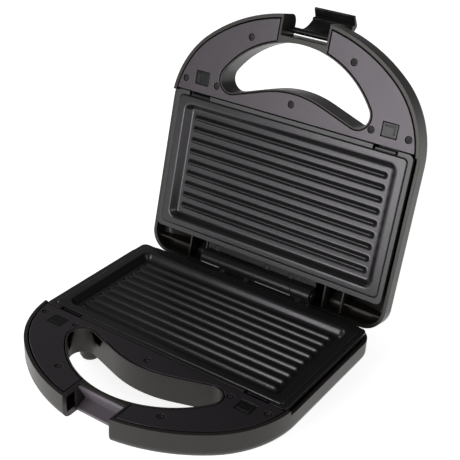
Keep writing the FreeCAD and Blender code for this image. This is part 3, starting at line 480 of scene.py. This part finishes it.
def rib_height(x, y):
    """Height of the ribs: RIB_RISE * (1 - ramp((way from a rib's line - RIB_CREST) / RIB_FLANK))."""
    ribs = np.zeros_like(x)
    for number in range(RIB_COUNT):
        line = (number - (RIB_COUNT - 1) / 2) * RIB_PITCH + RIB_SHIFT
        away = np.hypot(np.maximum(np.abs(x) - RIB_REACH, 0), y - line)
        ribs = np.maximum(ribs, RIB_RISE * (1 - ramp((away - RIB_CREST) / RIB_FLANK, RIB_SOFT)))
    return ribs


# %% Grid of a plate
def pull_in(x, y, half):
    """Move points outside the rounded corners of the rectangle back onto its outline."""
    out = np.minimum(inside(x, y, half, PLATE_CORNER), 0)
    away = np.stack([np.maximum(np.abs(x) - half[0] + PLATE_CORNER, 0),
                     np.maximum(np.abs(y) - half[1] + PLATE_CORNER, 0)])
    away = away / np.maximum(np.hypot(*away), 1e-9)
    return x + np.sign(x) * away[0] * out, y + np.sign(y) * away[1] * out


def grill_surface(low, high):
    """Top of a plate in millimetres of the half frame, from its lowest and highest corner.

    z = tray_height + rib_height on a grid that is close at the rib ends, with a skirt round it.
    """
    half = (high[:2] - low[:2]) / 2
    mid = (high[:2] + low[:2]) / 2
    x = np.concatenate([np.linspace(-half[0], -FINE_FROM, FINE_STEPS),
                        np.linspace(-COARSE_TO, COARSE_TO, COARSE_STEPS),
                        np.linspace(FINE_FROM, half[0], FINE_STEPS)])
    y = np.linspace(-half[1], half[1], ROWS)
    gx, gy = pull_in(*np.meshgrid(x, y, indexing="ij"), half)
    z = tray_height(gx, gy, half, high[2]) + rib_height(gx, gy)
    points = np.stack([gx + mid[0], gy + mid[1], z], axis=-1)
    points = np.pad(points, ((1, 1), (1, 1), (0, 0)), mode="edge")
    for border in (points[0], points[-1], points[:, 0], points[:, -1]):
        border[:, 2] = low[2] + SKIRT
    return points[:, ::-1]


# %% Both plates
PLATE_SKIN = 0.0015

for name, place in HALVES.items():
    corners = in_half(f"{name}_plate", name) * 1000
    grid = grill_surface(corners.min(axis=0), corners.max(axis=0)) / 1000
    plate = piece(f"{name}_grill_plate", [lattice(grid)], place, "nonstick", f"{name}_plate",
                  f"{name}_plate", smooth=60, capped=False)
    skin = plate.modifiers.new("skin", "SOLIDIFY")
    skin.thickness = PLATE_SKIN
    skin.offset = -1

# %% [markdown]
# ## Screws
# Small black screws with a low dome and a cross recess sit in counterbores all round the covers.
# A head is again a height, this time over a disc, so the recess is real and catches the light; a
# painted cross would go flat from the side. Each screw is turned a little differently.

# %% Sizes of a screw head, in millimetres
HEAD_STEPS = 48
HEAD_THICK = 0.9
DOME, RIM_DROP, RECESS = 0.12, 0.35, 0.75
RIM_FROM, RIM_RUN = 0.8, 0.2
CROSS_REACH, CROSS_HALF, CROSS_SLOPE, CROSS_END = 0.62, 0.42, 0.16, 0.4


# %% Screw head
def screw_head(radius, thick):
    """Disc of unit radius rho scaled to a radius; shape (rings + 2, HEAD_STEPS, 3) in mm.

    z = thick - DOME * rho^2 - RIM_DROP * (1 - sqrt(1 - rim^2)) - RECESS * cross,
    rim = (rho - RIM_FROM) / RIM_RUN kept to 0..1; cross is 1 in the two crossed slots and 0 outside.
    """
    rho, angle = np.meshgrid(np.linspace(0, 1, 22),
                             np.linspace(0, 2 * np.pi, HEAD_STEPS, endpoint=False), indexing="ij")
    x, y = radius * rho * np.cos(angle), radius * rho * np.sin(angle)
    rim = np.clip((rho - RIM_FROM) / RIM_RUN, 0, 1)
    z = thick - DOME * rho ** 2 - RIM_DROP * (1 - np.sqrt(1 - rim ** 2))

    def slot(across, along):
        """1 within a slot's half width and reach, falling to 0 over its slope and its end."""
        depth = np.clip((CROSS_HALF - np.abs(across)) / CROSS_SLOPE, 0, 1)
        return depth * np.clip((radius * CROSS_REACH - np.abs(along)) / CROSS_END, 0, 1)

    z = z - RECESS * np.maximum(slot(y, x), slot(x, y))
    top = np.stack([x, y, z], axis=-1)
    side = np.stack([x[-1], y[-1], np.zeros(HEAD_STEPS)], axis=-1)[None]
    neck = side * np.array([0.5, 0.5, 1])
    return np.concatenate([top, side, neck])


# %% All the screws of a node
SCREW_SPREAD = 0.0125
FIRST_TURN, NEXT_TURN = 15, 37


def screws(node, name):
    """All screws of a node: a head on top of each cluster and a shank below it."""
    parts = []
    for low, high in middles(in_half(node, name), SCREW_SPREAD):
        at = (low + high) / 2
        radius = (high[0] - low[0]) * 500
        head = screw_head(radius, HEAD_THICK) / 1000
        seat = high[2] - HEAD_THICK / 1000
        turn = np.radians(NEXT_TURN * len(parts) + FIRST_TURN)
        spun = head.copy()
        spun[..., 0] = head[..., 0] * np.cos(turn) - head[..., 1] * np.sin(turn)
        spun[..., 1] = head[..., 0] * np.sin(turn) + head[..., 1] * np.cos(turn)
        tail = spun[-1:].copy()
        tail[..., 2] = low[2] - seat
        whole = np.concatenate([spun, tail]) + np.array([at[0], at[1], seat])
        parts.append(lattice(whole, wrap=True))
    return parts


for name, place in HALVES.items():
    for kind in ("deck_screws", "hinge_screws", "frame_screws"):
        node = f"{name}_{kind}"
        piece(f"{node}_shaped", screws(node, name), place, "screw", name, node, smooth=40)

# %% [markdown]
# ## Turned pieces: feet and lenses
# The rubber feet and the two indicator lenses are round. A lathe's way suits them: a profile of
# radius and height is turned once about an upright axis, and its round corners come free.

# %% Turning a profile
def turned(profile, steps=64):
    """Surface of a profile of (radius, height) pairs turned round z; shape (points, steps, 3)."""
    profile = np.asarray(profile, float)
    angle = np.linspace(0, 2 * np.pi, steps, endpoint=False)
    radius, height = profile[:, :1], profile[:, 1:]
    return np.stack([radius * np.cos(angle), radius * np.sin(angle),
                     np.broadcast_to(height, (len(profile), steps))], axis=-1)


def quarter(radius, corner, at, up):
    """Rounded corner of a profile, from the flat to the side, as (radius, height) pairs."""
    t = np.linspace(0, np.pi / 2, 7)
    return [(radius - corner + corner * np.sin(a), at + up * corner * (np.cos(a) - 1)) for a in t]


# %% Rubber feet
FOOT_SPREAD = 0.02
FOOT_DISH = 0.0009
FOOT_CORNER = 0.0009
DISH_FLAT, DISH_EDGE = 0.42, 0.5

feet = []
for low, high in middles(in_half("base_feet", "base"), FOOT_SPREAD):
    radius, tall = (high[0] - low[0]) / 2, high[2] - low[2]
    profile = [(0, FOOT_DISH), (radius * DISH_FLAT, FOOT_DISH), (radius * DISH_EDGE, 0.0)]
    profile += quarter(radius, FOOT_CORNER, 0.0, -1)
    profile += [(radius, tall), (0, tall)]
    at = np.array([(low[0] + high[0]) / 2, (low[1] + high[1]) / 2, low[2]])
    feet.append(lattice(turned(profile) + at, wrap=True))
piece("base_rubber_feet", feet, BASE, "rubber", "base", "base_feet")

# %% Indicator lenses
LENS_DOME = 0.0012

for node, slot in (("lid_lamp_power", "red_lens"), ("lid_lamp_ready", "green_lens")):
    points = in_half(node, "lid")
    low, high = points.min(axis=0), points.max(axis=0)
    radius = (high[0] - low[0]) / 2
    dome = [(radius * np.sin(a), LENS_DOME - LENS_DOME * np.cos(a))
            for a in np.linspace(0, np.pi / 2, 10)]
    profile = dome + [(radius, high[2] - low[2]), (0, high[2] - low[2])]
    at = np.array([(low[0] + high[0]) / 2, (low[1] + high[1]) / 2, low[2]])
    piece(f"{node}_lens", [lattice(turned(profile) + at, wrap=True)], LID, slot, "lid", node)

# %% [markdown]
# ## Latch clip
# A hanging clip that swings on a pin in the lid's gap and hooks under the base. Its section is the
# same all along, so it is one outline of arcs carried along the pin, with ends drawn in a little.
# The outline is drawn as the clip stands latched, and then swung round the pin to where it rests.

# %% Arc through three points
def arc(start, middle, end, count):
    """Points from start to end along the circle through the three given points.

    The centre (ux, uy) is equally far from all three, which is two linear equations in it.
    """
    ax, ay = start
    bx, by = middle
    cx, cy = end
    d = 2 * (ax * (by - cy) + bx * (cy - ay) + cx * (ay - by))
    ux = ((ax**2 + ay**2) * (by - cy) + (bx**2 + by**2) * (cy - ay) + (cx**2 + cy**2) * (ay - by)) / d
    uy = ((ax**2 + ay**2) * (cx - bx) + (bx**2 + by**2) * (ax - cx) + (cx**2 + cy**2) * (bx - ax)) / d
    radius = np.hypot(ax - ux, ay - uy)
    a, b, c = (np.arctan2(p[1] - uy, p[0] - ux) for p in (start, middle, end))
    full = (c - a) % (2 * np.pi)
    if (b - a) % (2 * np.pi) > full:
        full -= 2 * np.pi
    t = a + full * np.linspace(0, 1, count)
    return [(ux + radius * np.cos(v), uy + radius * np.sin(v)) for v in t]


# %% Sizes of the clip, in millimetres
CLIP_REACH, CLIP_BOW, CLIP_THICK, CLIP_LIP = 36.0, 5.4, 3.0, 8.2
BEAD_SWELL = 1.2
CLIP_SIDE_GAP, BARREL_OVER = 2.0, 1.7
BARREL_RADIUS, BARREL_EDGE = 2.5, 0.4
STATIONS = ((-1, 0.985), (-0.985, 1), (-0.5, 1), (0, 1), (0.5, 1), (0.985, 1), (1, 0.985))


# %% Outline of the clip
def clip_profile():
    """Closed outline of the clip's wall in (y, z), millimetres from the pin, latched.

    Outer bow, rounded end, hooked lip, a bead under the lip, inner bow back to the barrel.
    """
    reach, bow, thick, lip = CLIP_REACH, CLIP_BOW, CLIP_THICK, CLIP_LIP
    outer = arc((-2.0, 0.6), (-bow - thick / 2, reach * 0.52), (-2.0, reach + 1.8), 22)
    end = arc((-2.0, reach + 1.8), (-0.6, reach + 2.8), (1.2, reach + 2.5), 6)
    tip = arc((lip + 0.9, reach - 1.0), (lip + 0.9, reach - 2.2), (lip - 0.2, reach - 2.6), 6)
    bead = arc((0.6, reach - 2.2), (0.6 + BEAD_SWELL, reach - 3.6), (-0.4, reach - 4.8), 7)
    inner = arc((-0.7, reach - 5.4), (thick / 2 - bow, reach * 0.52), (0.9, 1.6), 20)
    return np.array(outer + end[1:] + tip + [(1.4, reach - 0.8)] + bead + inner)


# %% Wall and barrel of the clip
def clip_mesh():
    """The clip's wall as a prism along x whose ends are drawn in a little, and its barrel.

    At each station (share of the half width, scale) the outline is scaled about its mean.
    """
    points = in_half("latch_clip", "lid") * 1000
    width = points[:, 0].max() - CLIP_SIDE_GAP
    outline = clip_profile()
    centre = outline.mean(axis=0)
    rows = []
    for x, shrink in STATIONS:
        loop = centre + (outline - centre) * shrink
        rows.append(np.column_stack([np.full(len(loop), x * width), loop]))
    wall = lattice(np.array(rows), wrap=True)
    reach = width + BARREL_OVER
    shoulder = BARREL_RADIUS - BARREL_EDGE
    profile = [(0, -reach), (shoulder, -reach), (BARREL_RADIUS, BARREL_EDGE - reach),
               (BARREL_RADIUS, reach - BARREL_EDGE), (shoulder, reach), (0, reach)]
    barrel = turned(profile, 40)[..., [2, 0, 1]]
    return [wall, lattice(barrel, wrap=True)]


pivot = Vector(joints["latch_pivot"]["pos_m"])
pin = LID.inverted() @ pivot
LATCH = LID @ Matrix.Translation(pin) @ Matrix.Rotation(latch_swing, 4, "X") @ Matrix.Scale(0.001, 4)
piece("latch_clip_shaped", clip_mesh(), LATCH, "black", "latch", "latch_clip", smooth=35)
